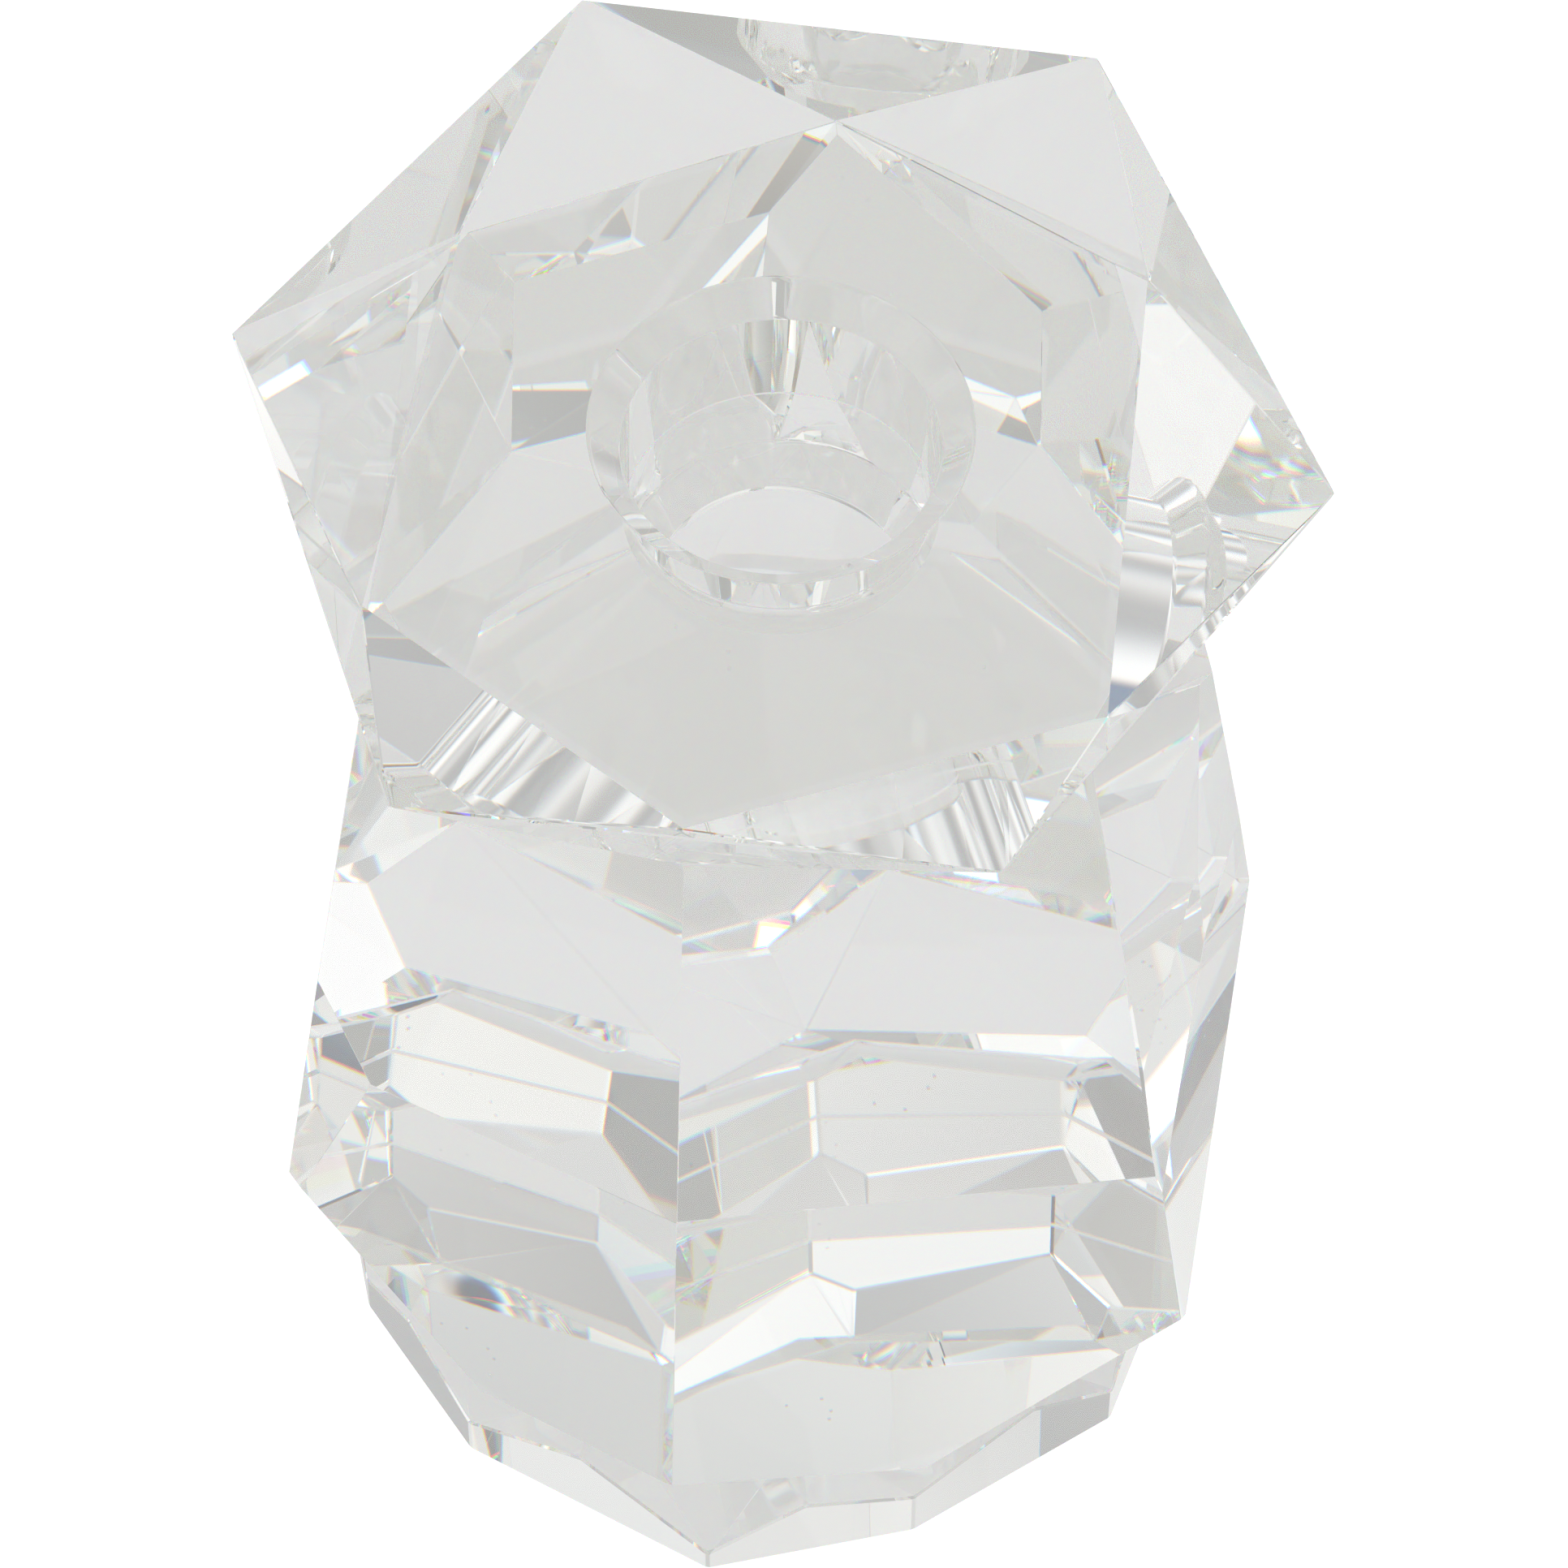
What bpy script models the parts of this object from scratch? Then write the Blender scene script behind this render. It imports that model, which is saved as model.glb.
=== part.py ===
"""Cut crystal candlestick: three faceted glass blocks bonded into a column, then drilled from above.

The head is a thin six-sided slab, wide at its flat top and narrow where it is bonded on. The body is a tall
block, cut all round in two tiers of flats with undercuts below them. The foot is a shallow flared block.
The frame is +Z up, in metres. The origin is the middle of the flat base, under the socket's axis, and a
facet's azimuth is measured from -Y (the front) towards +X.
"""

import math

import bmesh
import bpy
from mathutils import Vector

MM = 0.001

# Heights, in millimetres above the base.
HEIGHT = 100.0
UPPER_BOND = 89.6
SHOULDER = 52.0
LOWER_BOND = 12.5

# A bond is a film of clear adhesive, with the clearance that neighbouring meshes keep on both of its sides.
FILM = 0.2
CLEARANCE = 0.3
HALF_JOINT = FILM / 2 + CLEARANCE

# The candle socket: a chamfered mouth, a straight bore and a smaller flat floor.
MOUTH_RADIUS = 13.5
BORE_RADIUS = 11.25
MOUTH_CHAMFER = 1.8
BORE_DEPTH = 15.8
FLOOR_RADIUS = 9.3
FLOOR_DEPTH = 18.7
SOCKET_SIDES = 72

# The head's corners as (azimuth, radius): its flat top, and the narrower face that is bonded to the body.
HEAD_TOP = ((-102, 39.6), (-159.6, 42.2), (146.2, 41.1), (81.8, 38.8), (21.7, 40.3), (-39.1, 41.6))
HEAD_BOTTOM = ((-133.3, 32.0), (173.3, 33.0), (124.2, 31.9), (48.0, 30.4), (-12.4, 30.6), (-68.9, 31.2))

# The body's flats as (azimuth, lean, reach). Lean is how far a flat tips back from upright, in degrees, and
# reach is how far it stands from the axis at the tier's own height. The upper tier starts on the waist.
UPPER_TIER = (
    (-39.0, 15.3, 27.05),
    (17.4, 17.4, 26.2),
    (64.6, 13.5, 29.15),
    (63.4, 15.4, 28.45),
    (69.6, 12.4, 29.3),
    (86.5, 37.0, 24.4),
    (102.0, 8.4, 27.45),
    (146.5, 12.0, 29.5),
    (-158.2, 12.0, 29.0),
    (-97.0, 7.55, 27.05),
)
LOWER_TIER = (
    (-47.2, 7.1, 38.15),
    (-35.9, 3.2, 36.85),
    (14.3, 2.8, 37.1),
    (71.2, 7.1, 36.35),
    (87.7, -7.1, 34.6),
    (124.0, 3.0, 34.0),
    (163.0, 4.0, 36.0),
    (-157.0, 5.0, 35.5),
    (-126.0, 4.0, 34.0),
)
UNDERCUTS = (
    (-63.5, -31.3, 29.8),
    (-21.5, -47.3, 29.4),
    (-3.9, -47.2, 29.7),
    (38.7, -30.2, 32.45),
    (88.0, -40.0, 30.5),
    (130.0, -44.0, 30.0),
    (172.0, -36.0, 31.0),
    (-140.0, -45.0, 30.0),
    (-103.0, -38.0, 30.5),
)

# The foot's flats: a band that stands nearly upright, with its reach at the base, and slopes above it, with
# their reach at the lower bond.
FOOT_BAND = (
    (-78.9, 0, 34.7),
    (-56.7, 0, 34.2),
    (-29.5, 0, 33.9),
    (12.2, 0, 33.9),
    (32.9, 0, 33.0),
    (69.5, 0, 32.6),
    (104, 0, 33.5),
    (139, 0, 33.0),
    (175, 0, 33.8),
    (-146, 0, 33.2),
    (-112, 0, 33.9),
)
FOOT_SLOPES = (
    (-74, 33, 29.6),
    (-43, 36, 29.0),
    (-12, 34, 29.4),
    (21, 35, 29.0),
    (54, 33, 29.2),
    (90, 36, 29.0),
    (128, 34, 29.3),
    (167, 35, 29.0),
    (-154, 34, 29.4),
    (-113, 33, 29.2),
)


def clear_scene():
    for item in list(bpy.data.objects):
        bpy.data.objects.remove(item, do_unlink=True)


def glass(name, tint, roughness):
    """A clear Principled glass with a faint tint."""
    material = bpy.data.materials.new(name)
    material.use_nodes = True
    shader = material.node_tree.nodes["Principled BSDF"]
    shader.inputs["Base Color"].default_value = (*tint, 1.0)
    shader.inputs["Roughness"].default_value = roughness
    shader.inputs["IOR"].default_value = 1.517
    shader.inputs["Transmission Weight"].default_value = 1.0
    return material


def polar(azimuth, radius, height):
    """The point at this azimuth (degrees), radius and height (millimetres), in metres."""
    angle = math.radians(azimuth)
    return Vector((math.sin(angle) * radius, -math.cos(angle) * radius, height)) * MM


def add_object(name, mesh_data, material):
    """A flat-shaded object of this bmesh, with its faces pointing out."""
    bmesh.ops.recalc_face_normals(mesh_data, faces=mesh_data.faces)
    mesh = bpy.data.meshes.new(name)
    mesh_data.to_mesh(mesh)
    mesh_data.free()
    if material:
        mesh.materials.append(material)
    item = bpy.data.objects.new(name, mesh)
    bpy.context.collection.objects.link(item)
    return item


def cut(block, point, normal):
    """Grinds away what lies beyond a plane, and closes the block with one flat face."""
    geometry = block.verts[:] + block.edges[:] + block.faces[:]
    found = bmesh.ops.bisect_plane(block, geom=geometry, plane_co=point, plane_no=normal, clear_outer=True)
    rim = [part for part in found["geom_cut"] if isinstance(part, bmesh.types.BMEdge)]
    if rim:
        bmesh.ops.contextual_create(block, geom=rim)


def cut_tier(block, flats, height):
    for azimuth, lean, reach in flats:
        outward = polar(azimuth, 1.0, 0.0).normalized() * math.cos(math.radians(lean))
        normal = outward + Vector((0.0, 0.0, math.sin(math.radians(lean))))
        cut(block, polar(azimuth, reach, height), normal)


def blank(low, high):
    """An uncut block of glass between two heights."""
    block = bmesh.new()
    bmesh.ops.create_cube(block, size=1.0)
    across = 3.0 * HEIGHT
    for corner in block.verts:
        corner.co.x *= across * MM
        corner.co.y *= across * MM
        corner.co.z = (high if corner.co.z > 0 else low) * MM
    return block


def hull_of(points):
    hull = bmesh.new()
    for point in points:
        hull.verts.new(point)
    bmesh.ops.convex_hull(hull, input=hull.verts)
    flat = math.radians(0.5)
    bmesh.ops.dissolve_limit(hull, angle_limit=flat, verts=hull.verts, edges=hull.edges)
    return hull


def turned(name, outline):
    """A closed solid turned about the Z axis from (radius, height) points that start and end on it."""
    solid = bmesh.new()
    points = [solid.verts.new((radius * MM, 0.0, height * MM)) for radius, height in outline]
    line = [solid.edges.new(pair) for pair in zip(points, points[1:])]
    bmesh.ops.spin(
        solid, geom=points + line, axis=(0, 0, 1), cent=(0, 0, 0), angle=math.tau, steps=SOCKET_SIDES,
        use_merge=True,
    )
    bmesh.ops.remove_doubles(solid, verts=solid.verts, dist=1e-6)
    return add_object(name, solid, None)


def subtract(item, cutter):
    cutter.hide_render = True
    cutter.display_type = "WIRE"
    drill = item.modifiers.new("drilled by " + cutter.name, "BOOLEAN")
    drill.operation = "DIFFERENCE"
    drill.solver = "EXACT"
    drill.object = cutter


def socket_drill():
    """The drill's outline, from the socket's floor up to well above the mouth."""
    above = MOUTH_CHAMFER
    return turned(
        "socket_drill",
        (
            (0.0, HEIGHT - FLOOR_DEPTH),
            (FLOOR_RADIUS, HEIGHT - FLOOR_DEPTH),
            (BORE_RADIUS, HEIGHT - BORE_DEPTH),
            (BORE_RADIUS, HEIGHT - MOUTH_CHAMFER),
            (MOUTH_RADIUS + (MOUTH_RADIUS - BORE_RADIUS), HEIGHT + above),
            (0.0, HEIGHT + above),
        ),
    )


def head_block(material, drill):
    top = [polar(azimuth, radius, HEIGHT) for azimuth, radius in HEAD_TOP]
    bottom = [polar(azimuth, radius, UPPER_BOND + HALF_JOINT) for azimuth, radius in HEAD_BOTTOM]
    item = add_object("head_block", hull_of(top + bottom), material)
    subtract(item, drill)


def body_block(material, drill):
    block = blank(LOWER_BOND + HALF_JOINT, UPPER_BOND - HALF_JOINT)
    cut_tier(block, LOWER_TIER, SHOULDER)
    cut_tier(block, UPPER_TIER, UPPER_BOND)
    cut_tier(block, UNDERCUTS, LOWER_BOND)
    item = add_object("body_block", block, material)
    subtract(item, drill)


def foot_block(material):
    block = blank(0.0, LOWER_BOND - HALF_JOINT)
    cut_tier(block, FOOT_BAND, 0.0)
    cut_tier(block, FOOT_SLOPES, LOWER_BOND)
    add_object("foot_block", block, material)


def upper_bond(material):
    """The film between head and body, cut through by the socket."""
    spare = 1.0
    film = blank(UPPER_BOND - FILM / 2, UPPER_BOND + FILM / 2)
    corners = [polar(azimuth, radius - spare, UPPER_BOND) for azimuth, radius in HEAD_BOTTOM]
    for here, there in zip(corners, corners[1:] + corners[:1]):
        along = there - here
        cut(film, here, Vector((-along.y, along.x, 0.0)))
    item = add_object("upper_bond", film, material)
    hole_radius = BORE_RADIUS + CLEARANCE
    low = UPPER_BOND - 1.0
    high = UPPER_BOND + 1.0
    subtract(item, turned("bond_drill", ((0.0, low), (hole_radius, low), (hole_radius, high), (0.0, high))))


def lower_bond(material):
    """The film between body and foot."""
    spare = 1.0
    film = blank(LOWER_BOND - FILM / 2, LOWER_BOND + FILM / 2)
    upright = [(azimuth, 0.0, reach - spare) for azimuth, lean, reach in FOOT_SLOPES]
    cut_tier(film, upright, LOWER_BOND)
    add_object("lower_bond", film, material)


def build():
    clear_scene()
    crystal = (0.97, 0.975, 0.97)
    adhesive = (0.95, 0.95, 0.93)
    drill = socket_drill()
    head_block(glass("head_crystal", crystal, 0.0), drill)
    upper_bond(glass("upper_adhesive", adhesive, 0.1))
    body_block(glass("body_crystal", crystal, 0.0), drill)
    lower_bond(glass("lower_adhesive", adhesive, 0.1))
    foot_block(glass("foot_crystal", crystal, 0.0))


build()
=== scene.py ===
"""The looks of the cut crystal candlestick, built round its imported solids.

It has polished facets with fine ground edges, a smooth drilled socket and clear bonds with stray specks. It
stands on a white board in an unevenly lit studio.
"""

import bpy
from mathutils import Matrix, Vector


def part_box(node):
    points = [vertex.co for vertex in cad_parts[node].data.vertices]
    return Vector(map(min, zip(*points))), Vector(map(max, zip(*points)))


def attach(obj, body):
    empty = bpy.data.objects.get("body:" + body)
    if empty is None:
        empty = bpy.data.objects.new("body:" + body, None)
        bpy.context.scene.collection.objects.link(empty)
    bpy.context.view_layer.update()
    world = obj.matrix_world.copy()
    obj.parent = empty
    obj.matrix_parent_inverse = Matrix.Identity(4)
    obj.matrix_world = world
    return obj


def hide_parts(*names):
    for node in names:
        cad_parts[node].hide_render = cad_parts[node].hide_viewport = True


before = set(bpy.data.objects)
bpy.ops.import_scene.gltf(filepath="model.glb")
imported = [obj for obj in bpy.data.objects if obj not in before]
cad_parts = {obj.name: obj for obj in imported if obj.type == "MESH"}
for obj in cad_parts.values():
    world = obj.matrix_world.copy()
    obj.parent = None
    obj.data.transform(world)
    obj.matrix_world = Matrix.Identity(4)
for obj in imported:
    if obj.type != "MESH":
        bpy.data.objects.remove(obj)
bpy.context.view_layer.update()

import math

import bmesh
import bpy
from mathutils import Matrix, Vector

MM = 0.001

# The flat top's height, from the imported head, and the two bonds' heights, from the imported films.
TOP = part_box("head_block")[1].z
UPPER_BOND = sum(corner.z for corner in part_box("upper_bond")) / 2
LOWER_BOND = sum(corner.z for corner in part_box("lower_bond")) / 2

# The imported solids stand 0.3 mm off each film. The glass here comes down to just off the film's own skin.
BOND_SKIN = 0.11 * MM
REACH_TO_BOND = 0.6 * MM

# The width of the bevel ground along each block's edges.
HEAD_EDGE = 0.18 * MM
BODY_EDGE = 0.26 * MM
FOOT_EDGE = 0.34 * MM

# The socket, in millimetres: its mouth, bore and floor radii, and how far below the top each one is.
MOUTH_RADIUS = 13.5
BORE_RADIUS = 11.25
MOUTH_CHAMFER = 1.8
BORE_DEPTH = 15.8
FLOOR_RADIUS = 9.3
FLOOR_DEPTH = 18.7
SOCKET_SIDES = 192

# Everything of the socket is nearer to the axis than this, and every facet's corner is farther from it.
SOCKET_ZONE = 14.0 * MM

# How near two corners are welded, how short a side is left out, and how exactly a face has to be flat or
# inside another block's outline, all in metres.
WELD = 2e-6
FINE_WELD = 1e-7
SPLIT_WELD = 1e-6
SHORTEST_SIDE = 0.01 * MM
FLAT_WITHIN = 1e-6
INSIDE_WITHIN = 5e-6

# Facets that meet at a smaller angle than the first are one flat. The socket is smooth up to the second.
ONE_FLAT = math.radians(0.35)
SMOOTH_UP_TO = math.radians(30)

# Where a block's bonded faces and its bore stand in its list of materials. Its facets come first.
BONDED_SLOT = 1
BORE_SLOT = 2

# Crown glass, and how far its red and blue indices stand from the middle one.
GLASS_IOR = 1.517
DISPERSION = 0.004

# What the glass lets through: less where light enters a block, and nearly all of it inside.
GLASS_TINT = (0.938, 0.94, 0.936)
INNER_TINT = (0.992, 0.993, 0.99)
ALL_CHANNELS = (1.0, 1.0, 1.0)

# How much of the light on its way to the floor each surface of glass lets past.
SHADOW_TINT = (0.975, 0.975, 0.975)

# Waves left by polishing, as the noise's stretch along each axis, its detail and the bump's strength. A flat
# has the lap's faint swirls, and the bore has upright streaks.
LAP_WAVES = ((1.0, 1.0, 1.0), 1.0, 0.01)
BORE_WAVES = ((6.0, 6.0, 0.25), 0.0, 0.22)
WAVE_SCALE = 55.0
BUMP_DISTANCE = 0.0002

# Dull spots: where this noise is high, the polish is a little rough.
DULL_SCALE = 300.0
DULL_FROM = 0.62
DULL_FULL = 0.8
DULL_ROUGHNESS = 0.01

# The adhesive film, and its specks: small cells, only where a broad noise is high.
FILM_CLEAR = (0.985, 0.985, 0.98)
SPECK_COLOUR = (0.55, 0.55, 0.54)
SPECK_SCALE = 420.0
SPECK_SIZE = 0.07
SPECK_AMOUNT = 0.6
CLUSTER_SCALE = 90.0
CLUSTER_FROM = 0.62

# The board that the candlestick stands on: white to the camera, and a softer grey as the glass sees it.
FLOOR_WHITE = (0.92, 0.92, 0.92)
FLOOR_IN_GLASS = (0.62, 0.62, 0.62)
FLOOR_SIZE = 6.0
FLOOR_HEIGHT = -0.0001
FLOOR_ROUGHNESS = 0.8
TOOTH_SCALE = 900.0
TOOTH_STRENGTH = 0.05

# The studio round the piece is brightest where this direction points and dimmest away from it.
BRIGHT_SIDE = (-0.62, 0.48, 0.62)
BRIGHT = (0.91, 0.91, 0.91)
DIM = (0.78, 0.78, 0.785)
DIM_BELOW = -0.6
BRIGHT_ABOVE = 0.9
ROOM_LIGHT = 1.05

# How unevenly its white walls are lit: the dimmest and brightest shares, and the noise between them.
UNEVEN = (0.58, 1.24)
CLOUD_SCALE = 2.6
CLOUD_DETAIL = 1.0
CLOUD_RANGE = (0.32, 0.68)

# Small soft patches of shade and of light on the walls, as (azimuth, elevation, half width, colour).
PATCHES = (
    (14.0, 72.0, 9.0, (0.24, 0.25, 0.28)),
    (112.0, 34.0, 9.0, (0.42, 0.34, 0.28)),
    (-96.0, 26.0, 9.0, (0.30, 0.36, 0.46)),
    (-20.0, 30.0, 9.0, (0.36, 0.36, 0.36)),
    (60.0, 22.0, 6.0, (0.30, 0.30, 0.32)),
    (-140.0, 44.0, 7.0, (1.75, 1.75, 1.78)),
    (146.0, 30.0, 5.0, (1.3, 1.29, 1.26)),
    (62.0, 48.0, 8.0, (1.65, 1.65, 1.65)),
    (-62.0, 48.0, 7.0, (1.65, 1.66, 1.69)),
)

# A patch fades from nothing to full between these shares of its half width.
PATCH_OUTER = 1.25
PATCH_INNER = 0.75

# The lamp, in metres and watts. It lights the board, and the glass doesn't mirror it.
LAMP_PLACE = (-0.9, 0.7, 1.5)
LAMP_WIDTH = 1.6
LAMP_HEIGHT = 1.2
LAMP_POWER = 25.0

# Light turns back many times in a block like this. With far fewer bounces, the longest paths end in black.
BOUNCES = 96
DIFFUSE_BOUNCES = 4
BRIGHTEST_BOUNCE = 8.0

# The camera: its place in metres, its angles below the horizon and of roll, in radians, and its lens in mm.
CAMERA_PLACE = (0.00031, -0.29156, 0.47438)
CAMERA_DOWN = 0.96149
CAMERA_ROLL = 0.00392
LENS = 156.2
SENSOR_WIDTH = 36.0
NEAREST_SEEN = 0.01


def link(name, data):
    item = bpy.data.objects.new(name, data)
    bpy.context.scene.collection.objects.link(item)
    return item


def from_axis(place):
    return math.hypot(place.x, place.y)


def is_at(bond, z):
    return abs(z - bond) < REACH_TO_BOND


def is_bond_height(z):
    return is_at(UPPER_BOND, z) or is_at(LOWER_BOND, z)


def at_bond(z):
    """The height of a bonded face: just off the film that it touches."""
    middle = UPPER_BOND if is_at(UPPER_BOND, z) else LOWER_BOND
    return middle + math.copysign(BOND_SKIN, z - middle)


# ---------------------------------------------------------------- shader nodes


def new_material(name):
    """An empty material, and its node tree."""
    material = bpy.data.materials.new(name)
    material.use_nodes = True
    material.node_tree.nodes.clear()
    return material, material.node_tree


def add_node(tree, kind, **settings):
    node = tree.nodes.new(kind)
    for name, value in settings.items():
        setattr(node, name, value)
    return node


def plug(tree, value, socket):
    """Gives a socket its value: another node's output, three parts of a colour, or a number."""
    if isinstance(value, bpy.types.NodeSocket):
        tree.links.new(value, socket)
    elif isinstance(value, tuple):
        socket.default_value = (*value, 1.0)
    else:
        socket.default_value = value


def object_place(tree):
    return add_node(tree, "ShaderNodeTexCoord").outputs["Object"]


def noise(tree, place, scale, detail=2.0):
    texture = add_node(tree, "ShaderNodeTexNoise")
    plug(tree, scale, texture.inputs["Scale"])
    plug(tree, detail, texture.inputs["Detail"])
    plug(tree, place, texture.inputs["Vector"])
    return texture.outputs["Fac"]


def ranged(tree, value, start, end, low=0.0, high=1.0, curve="LINEAR"):
    """Takes what lies between start and end to what lies between low and high, and holds it there."""
    ramp = add_node(tree, "ShaderNodeMapRange", interpolation_type=curve)
    plug(tree, value, ramp.inputs["Value"])
    plug(tree, start, ramp.inputs["From Min"])
    plug(tree, end, ramp.inputs["From Max"])
    plug(tree, low, ramp.inputs["To Min"])
    plug(tree, high, ramp.inputs["To Max"])
    return ramp.outputs["Result"]


def bumped(tree, height, strength):
    bump = add_node(tree, "ShaderNodeBump")
    plug(tree, strength, bump.inputs["Strength"])
    plug(tree, BUMP_DISTANCE, bump.inputs["Distance"])
    plug(tree, height, bump.inputs["Height"])
    return bump.outputs["Normal"]


def worked_out(tree, operation, first, second):
    step = add_node(tree, "ShaderNodeMath", operation=operation)
    plug(tree, first, step.inputs[0])
    plug(tree, second, step.inputs[1])
    return step.outputs["Value"]


def blended(tree, factor, first, second):
    """A colour between two."""
    mix = add_node(tree, "ShaderNodeMix", data_type="RGBA")
    plug(tree, factor, mix.inputs["Factor"])
    plug(tree, first, mix.inputs["A"])
    plug(tree, second, mix.inputs["B"])
    return mix.outputs["Result"]


def mixed(tree, factor, first, second):
    """A shader between two."""
    mix = add_node(tree, "ShaderNodeMixShader")
    plug(tree, factor, mix.inputs["Fac"])
    plug(tree, first, mix.inputs[1])
    plug(tree, second, mix.inputs[2])
    return mix.outputs["Shader"]


def coloured(tree, kind, colour):
    shader = add_node(tree, kind)
    plug(tree, colour, shader.inputs["Color"])
    return shader.outputs["BSDF"]


def surface(tree, shader):
    out = add_node(tree, "ShaderNodeOutputMaterial")
    plug(tree, shader, out.inputs["Surface"])


# ---------------------------------------------------------------- materials


def polish(tree, waves):
    """The normal and roughness of polished glass, with its waves and a few dull spots."""
    stretch, detail, strength = waves
    place = object_place(tree)
    mapping = add_node(tree, "ShaderNodeMapping")
    mapping.inputs["Scale"].default_value = stretch
    plug(tree, place, mapping.inputs["Vector"])
    swirl = noise(tree, mapping.outputs["Vector"], WAVE_SCALE, detail)
    dull = noise(tree, place, DULL_SCALE)
    roughness = ranged(tree, dull, DULL_FROM, DULL_FULL, 0.0, DULL_ROUGHNESS)
    return bumped(tree, swirl, strength), roughness


def glass_lobe(tree, normal, roughness, channels, ior):
    """Glass that passes these colour channels, tinted more where light enters than where it turns back."""
    outer = tuple(amount * share for amount, share in zip(GLASS_TINT, channels))
    inner = tuple(amount * share for amount, share in zip(INNER_TINT, channels))
    is_inside = add_node(tree, "ShaderNodeNewGeometry").outputs["Backfacing"]
    shader = add_node(tree, "ShaderNodeBsdfGlass")
    plug(tree, blended(tree, is_inside, outer, inner), shader.inputs["Color"])
    plug(tree, ior, shader.inputs["IOR"])
    plug(tree, normal, shader.inputs["Normal"])
    plug(tree, roughness, shader.inputs["Roughness"])
    return shader.outputs["BSDF"]


def spectrum(tree, normal, roughness):
    """Three lobes, red, green and blue, each bent by its own index."""
    total = None
    for channel, shift in enumerate((-DISPERSION, 0.0, DISPERSION)):
        only = tuple(float(channel == other) for other in range(3))
        lobe = glass_lobe(tree, normal, roughness, only, GLASS_IOR + shift)
        if total is None:
            total = lobe
            continue
        both = add_node(tree, "ShaderNodeAddShader")
        plug(tree, total, both.inputs[0])
        plug(tree, lobe, both.inputs[1])
        total = both.outputs["Shader"]
    return total


def crystal(name, waves):
    """Clear glass. The first surface splits light into colours, and light for the floor goes straight on."""
    material, tree = new_material(name)
    normal, roughness = polish(tree, waves)
    clear = glass_lobe(tree, normal, roughness, ALL_CHANNELS, GLASS_IOR)
    split = spectrum(tree, normal, roughness)
    through = coloured(tree, "ShaderNodeBsdfTransparent", SHADOW_TINT)
    path = add_node(tree, "ShaderNodeLightPath").outputs
    seen = mixed(tree, path["Is Camera Ray"], clear, split)
    seen = mixed(tree, path["Is Diffuse Ray"], seen, through)
    surface(tree, mixed(tree, path["Is Shadow Ray"], seen, through))
    return material


def wetted(name):
    """A face that adhesive wets: its index matches the glass, so light goes straight on."""
    material, tree = new_material(name)
    surface(tree, add_node(tree, "ShaderNodeBsdfTransparent").outputs["BSDF"])
    return material


def adhesive(name):
    """A cured film that can hardly be seen: clear, with specks of trapped air and dust."""
    material, tree = new_material(name)
    place = object_place(tree)
    cells = add_node(tree, "ShaderNodeTexVoronoi")
    plug(tree, SPECK_SCALE, cells.inputs["Scale"])
    plug(tree, place, cells.inputs["Vector"])
    speck = worked_out(tree, "LESS_THAN", cells.outputs["Distance"], SPECK_SIZE)
    cluster = worked_out(tree, "GREATER_THAN", noise(tree, place, CLUSTER_SCALE), CLUSTER_FROM)
    both = worked_out(tree, "MULTIPLY", speck, cluster)
    amount = worked_out(tree, "MULTIPLY", both, SPECK_AMOUNT)
    clear = coloured(tree, "ShaderNodeBsdfTransparent", FILM_CLEAR)
    air = coloured(tree, "ShaderNodeBsdfDiffuse", SPECK_COLOUR)
    surface(tree, mixed(tree, amount, clear, air))
    return material


def white_board():
    """Matt board with a barely visible tooth."""
    material, tree = new_material("white_board")
    tooth = noise(tree, object_place(tree), TOOTH_SCALE)
    is_direct = add_node(tree, "ShaderNodeLightPath").outputs["Is Camera Ray"]
    shader = add_node(tree, "ShaderNodeBsdfPrincipled")
    plug(tree, FLOOR_ROUGHNESS, shader.inputs["Roughness"])
    plug(tree, blended(tree, is_direct, FLOOR_IN_GLASS, FLOOR_WHITE), shader.inputs["Base Color"])
    plug(tree, bumped(tree, tooth, TOOTH_STRENGTH), shader.inputs["Normal"])
    surface(tree, shader.outputs["BSDF"])
    return material


# ---------------------------------------------------------------- glass blocks


def outer_hull(node, zone):
    """The node's facets without its socket, as a closed convex mesh brought to the film at each bond."""
    hull = bmesh.new()
    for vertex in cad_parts[node].data.vertices:
        place = vertex.co.copy()
        if from_axis(place) < zone:
            continue
        if is_bond_height(place.z):
            place.z = at_bond(place.z)
        hull.verts.new(place)
    bmesh.ops.remove_doubles(hull, verts=hull.verts, dist=WELD)
    found = bmesh.ops.convex_hull(hull, input=hull.verts)
    spare = [part for part in found["geom_interior"] if isinstance(part, bmesh.types.BMVert)]
    bmesh.ops.delete(hull, geom=spare, context="VERTS")
    bmesh.ops.dissolve_limit(hull, angle_limit=ONE_FLAT, verts=hull.verts, edges=hull.edges)
    bmesh.ops.recalc_face_normals(hull, faces=hull.faces)
    return hull


def ease_edges(hull, width):
    """Grinds a fine bevel along every edge, except those round a bond."""
    edges = [edge for edge in hull.edges if not all(is_bond_height(end.co.z) for end in edge.verts)]
    bmesh.ops.bevel(
        hull,
        geom=edges,
        offset=width,
        offset_type="WIDTH",
        segments=1,
        profile=0.5,
        affect="EDGES",
        clamp_overlap=True,
    )


def bonded_sides(node, bond):
    """The sides of the node's face at this bond, each as a point on it and its outward direction."""
    corners = []
    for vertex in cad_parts[node].data.vertices:
        if is_at(bond, vertex.co.z) and from_axis(vertex.co) > SOCKET_ZONE:
            corners.append(Vector((vertex.co.x, vertex.co.y, 0.0)))
    corners.sort(key=lambda corner: math.atan2(corner.y, corner.x))
    sides = []
    for here, there in zip(corners, corners[1:] + corners[:1]):
        along = there - here
        if along.length > SHORTEST_SIDE:
            sides.append((here, Vector((along.y, -along.x, 0.0)).normalized()))
    return sides


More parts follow.
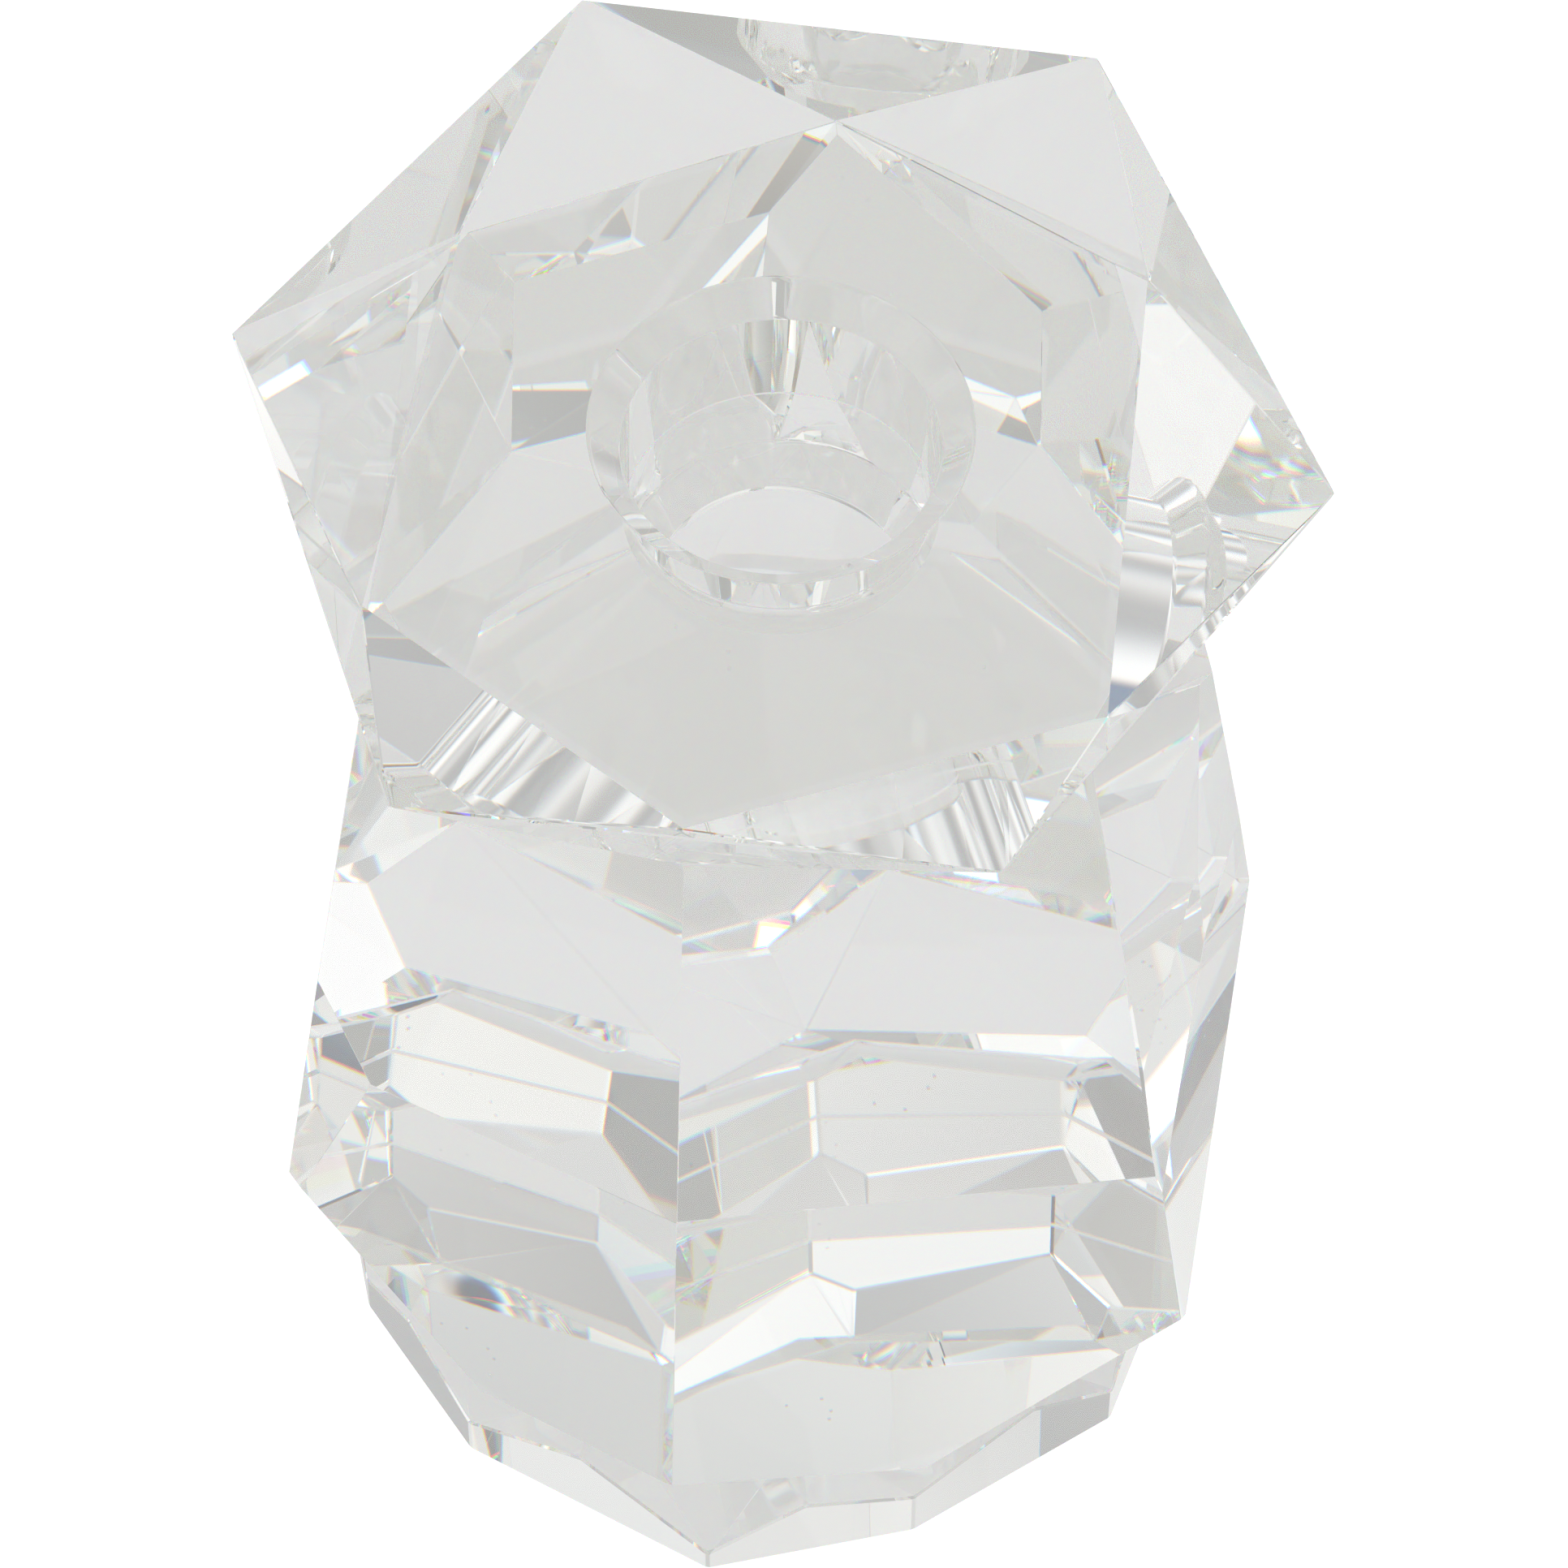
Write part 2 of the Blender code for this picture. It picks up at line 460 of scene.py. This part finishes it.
def lies_at(face, bond):
    return all(is_at(bond, corner.co.z) for corner in face.verts)


def split_bonds(hull, bonds):
    """Flattens each bonded face, which the bevel tilts, and cuts it along the other block's outline."""
    for corner in hull.verts:
        if is_bond_height(corner.co.z):
            corner.co.z = at_bond(corner.co.z)
    for bond, sides in bonds:
        for point, outward in sides:
            faces = [face for face in hull.faces if lies_at(face, bond)]
            edges = list({edge for face in faces for edge in face.edges})
            corners = list({corner for face in faces for corner in face.verts})
            bmesh.ops.bisect_plane(
                hull, geom=faces + edges + corners, dist=SPLIT_WELD, plane_co=point, plane_no=outward
            )


def is_inside(place, sides):
    return all((place - point).dot(outward) < INSIDE_WITHIN for point, outward in sides)


def is_wetted(mesh, face, bonds):
    """Whether this face is at a bond and inside the other block's outline, so that adhesive wets it."""
    places = [mesh.vertices[index].co for index in face.vertices]
    heights = [place.z for place in places]
    if max(heights) - min(heights) > FLAT_WITHIN:
        return False
    for bond, sides in bonds:
        if is_at(bond, heights[0]):
            return all(is_inside(place, sides) for place in places)
    return False


def turned(name, outline):
    """A closed solid turned about the Z axis from (radius, height) points that start and end on it."""
    solid = bmesh.new()
    points = [solid.verts.new((radius, 0.0, height)) for radius, height in outline]
    line = [solid.edges.new(pair) for pair in zip(points, points[1:])]
    bmesh.ops.spin(
        solid,
        geom=points + line,
        axis=(0, 0, 1),
        cent=(0, 0, 0),
        angle=math.tau,
        steps=SOCKET_SIDES,
        use_merge=True,
    )
    bmesh.ops.remove_doubles(solid, verts=solid.verts, dist=FINE_WELD)
    bmesh.ops.recalc_face_normals(solid, faces=solid.faces)
    mesh = bpy.data.meshes.new(name)
    solid.to_mesh(mesh)
    solid.free()
    return link(name, mesh)


def socket_outline():
    """The socket's section, from the middle of its floor up to clear air, with its corners eased."""
    points = [(0.0, -FLOOR_DEPTH), (FLOOR_RADIUS - 0.6, -FLOOR_DEPTH)]
    points += [(FLOOR_RADIUS - 0.2, -FLOOR_DEPTH + 0.12), (FLOOR_RADIUS, -FLOOR_DEPTH + 0.4)]
    points += [(BORE_RADIUS - 0.25, -BORE_DEPTH - 0.35), (BORE_RADIUS, -BORE_DEPTH + 0.2)]
    points += [(BORE_RADIUS, -MOUTH_CHAMFER - 0.25), (BORE_RADIUS + 0.2, -MOUTH_CHAMFER + 0.05)]
    points += [(MOUTH_RADIUS - 0.25, -0.35), (MOUTH_RADIUS - 0.02, -0.05), (MOUTH_RADIUS + 0.1, 0.0)]
    points += [(MOUTH_RADIUS + 0.1, 2.0), (0.0, 2.0)]
    return [(radius * MM, TOP + height * MM) for radius, height in points]


def drill(item, cutter):
    cut = item.modifiers.new("socket", "BOOLEAN")
    cut.operation = "DIFFERENCE"
    cut.solver = "EXACT"
    cut.object = cutter
    graph = bpy.context.evaluated_depsgraph_get()
    mesh = bpy.data.meshes.new_from_object(item.evaluated_get(graph))
    item.modifiers.clear()
    item.data = mesh


def smooth_socket(mesh):
    """Smooth shading on the turned wall, and flat shading on every cut facet."""
    for face in mesh.polygons:
        reach = max(from_axis(mesh.vertices[index].co) for index in face.vertices)
        face.use_smooth = reach < SOCKET_ZONE
    edit = bmesh.new()
    edit.from_mesh(mesh)
    for edge in edit.edges:
        if len(edge.link_faces) != 2:
            continue
        first, second = edge.link_faces
        if edge.calc_face_angle(0) > SMOOTH_UP_TO or first.smooth != second.smooth:
            edge.smooth = False
    edit.to_mesh(mesh)
    edit.free()


def block(node, name, edge_width, partners, cutter=None):
    """One block of glass. Its partners are the blocks that it is bonded to, each with its bond's height."""
    bonds = [(bond, bonded_sides(partner, bond)) for partner, bond in partners]
    hull = outer_hull(node, SOCKET_ZONE if cutter else 0.0)
    ease_edges(hull, edge_width)
    split_bonds(hull, bonds)
    mesh = bpy.data.meshes.new(name)
    hull.to_mesh(mesh)
    hull.free()
    item = link(name, mesh)
    if cutter:
        drill(item, cutter)
        smooth_socket(item.data)
    item.data.materials.clear()
    item.data.materials.append(crystal(name + "_glass", LAP_WAVES))
    item.data.materials.append(wetted(name + "_bonded"))
    if cutter:
        item.data.materials.append(crystal(name + "_bore", BORE_WAVES))
    for face in item.data.polygons:
        if is_wetted(item.data, face, bonds):
            face.material_index = BONDED_SLOT
        elif face.use_smooth:
            face.material_index = BORE_SLOT
    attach(item, "root")
    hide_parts(node)


def glass():
    """The head, body and foot."""
    cutter = turned("socket_cutter", socket_outline())
    head_partners = (("body_block", UPPER_BOND),)
    body_partners = (("head_block", UPPER_BOND), ("foot_block", LOWER_BOND))
    foot_partners = (("body_block", LOWER_BOND),)
    block("head_block", "head_glass", HEAD_EDGE, head_partners, cutter)
    block("body_block", "body_glass", BODY_EDGE, body_partners, cutter)
    block("foot_block", "foot_glass", FOOT_EDGE, foot_partners)
    bpy.data.objects.remove(cutter, do_unlink=True)


def films():
    """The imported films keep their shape, and get the look of cured adhesive."""
    for node in ("upper_bond", "lower_bond"):
        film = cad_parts[node]
        film.data.materials.clear()
        film.data.materials.append(adhesive(node + "_film"))


# ---------------------------------------------------------------- studio


def board():
    bpy.ops.mesh.primitive_plane_add(size=FLOOR_SIZE, location=(0.0, 0.0, FLOOR_HEIGHT))
    floor = bpy.context.object
    floor.name = "floor"
    floor.data.materials.append(white_board())


def direction(azimuth, elevation):
    """The direction at this azimuth, from -Y towards +X, and this elevation, both in degrees."""
    turn = math.radians(azimuth)
    rise = math.radians(elevation)
    return (math.sin(turn) * math.cos(rise), -math.cos(turn) * math.cos(rise), math.sin(rise))


def nearness(tree, facing, aim):
    """The cosine of the angle between where a ray goes and this direction."""
    product = add_node(tree, "ShaderNodeVectorMath", operation="DOT_PRODUCT")
    product.inputs[1].default_value = aim
    plug(tree, facing, product.inputs[0])
    return product.outputs["Value"]


def walls():
    """White walls all round, unevenly lit, with small patches of shade and light."""
    world = bpy.data.worlds.new("studio")
    bpy.context.scene.world = world
    world.use_nodes = True
    tree = world.node_tree
    unit = add_node(tree, "ShaderNodeVectorMath", operation="NORMALIZE")
    plug(tree, add_node(tree, "ShaderNodeTexCoord").outputs["Generated"], unit.inputs[0])
    facing = unit.outputs["Vector"]
    toward = nearness(tree, facing, Vector(BRIGHT_SIDE).normalized())
    sweep = blended(tree, ranged(tree, toward, DIM_BELOW, BRIGHT_ABOVE), DIM, BRIGHT)
    cloud = noise(tree, facing, CLOUD_SCALE, CLOUD_DETAIL)
    scaled = add_node(tree, "ShaderNodeVectorMath", operation="SCALE")
    plug(tree, sweep, scaled.inputs[0])
    plug(tree, ranged(tree, cloud, *CLOUD_RANGE, *UNEVEN, "SMOOTHSTEP"), scaled.inputs["Scale"])
    colour = scaled.outputs["Vector"]
    for azimuth, elevation, half_width, patch in PATCHES:
        near = nearness(tree, facing, direction(azimuth, elevation))
        outer = math.cos(math.radians(half_width * PATCH_OUTER))
        inner = math.cos(math.radians(half_width * PATCH_INNER))
        colour = blended(tree, ranged(tree, near, outer, inner, curve="SMOOTHSTEP"), colour, patch)
    backdrop = tree.nodes["Background"]
    plug(tree, ROOM_LIGHT, backdrop.inputs["Strength"])
    plug(tree, colour, backdrop.inputs["Color"])


def lamp():
    """A soft box, high behind the piece on the left."""
    light = bpy.data.lights.new("key", "AREA")
    light.shape = "RECTANGLE"
    light.size = LAMP_WIDTH
    light.size_y = LAMP_HEIGHT
    light.energy = LAMP_POWER
    item = link("key", light)
    item.location = LAMP_PLACE
    item.rotation_euler = (-Vector(LAMP_PLACE)).to_track_quat("-Z", "Y").to_euler()
    item.visible_glossy = False
    item.visible_transmission = False


def light_paths(scene):
    scene.view_settings.view_transform = "Standard"
    scene.cycles.max_bounces = BOUNCES
    scene.cycles.transmission_bounces = BOUNCES
    scene.cycles.glossy_bounces = BOUNCES
    scene.cycles.diffuse_bounces = DIFFUSE_BOUNCES
    scene.cycles.transparent_max_bounces = BOUNCES
    scene.cycles.sample_clamp_indirect = BRIGHTEST_BOUNCE


def camera(scene):
    lens = bpy.data.cameras.new("camera")
    lens.sensor_width = SENSOR_WIDTH
    lens.lens = LENS
    lens.clip_start = NEAREST_SEEN
    eye = link("camera", lens)
    eye.location = CAMERA_PLACE
    tilt = Matrix.Rotation(math.pi / 2 - CAMERA_DOWN, 3, "X")
    eye.rotation_euler = (tilt @ Matrix.Rotation(CAMERA_ROLL, 3, "Z")).to_euler()
    scene.camera = eye


glass()
films()
board()
walls()
lamp()
light_paths(bpy.context.scene)
camera(bpy.context.scene)
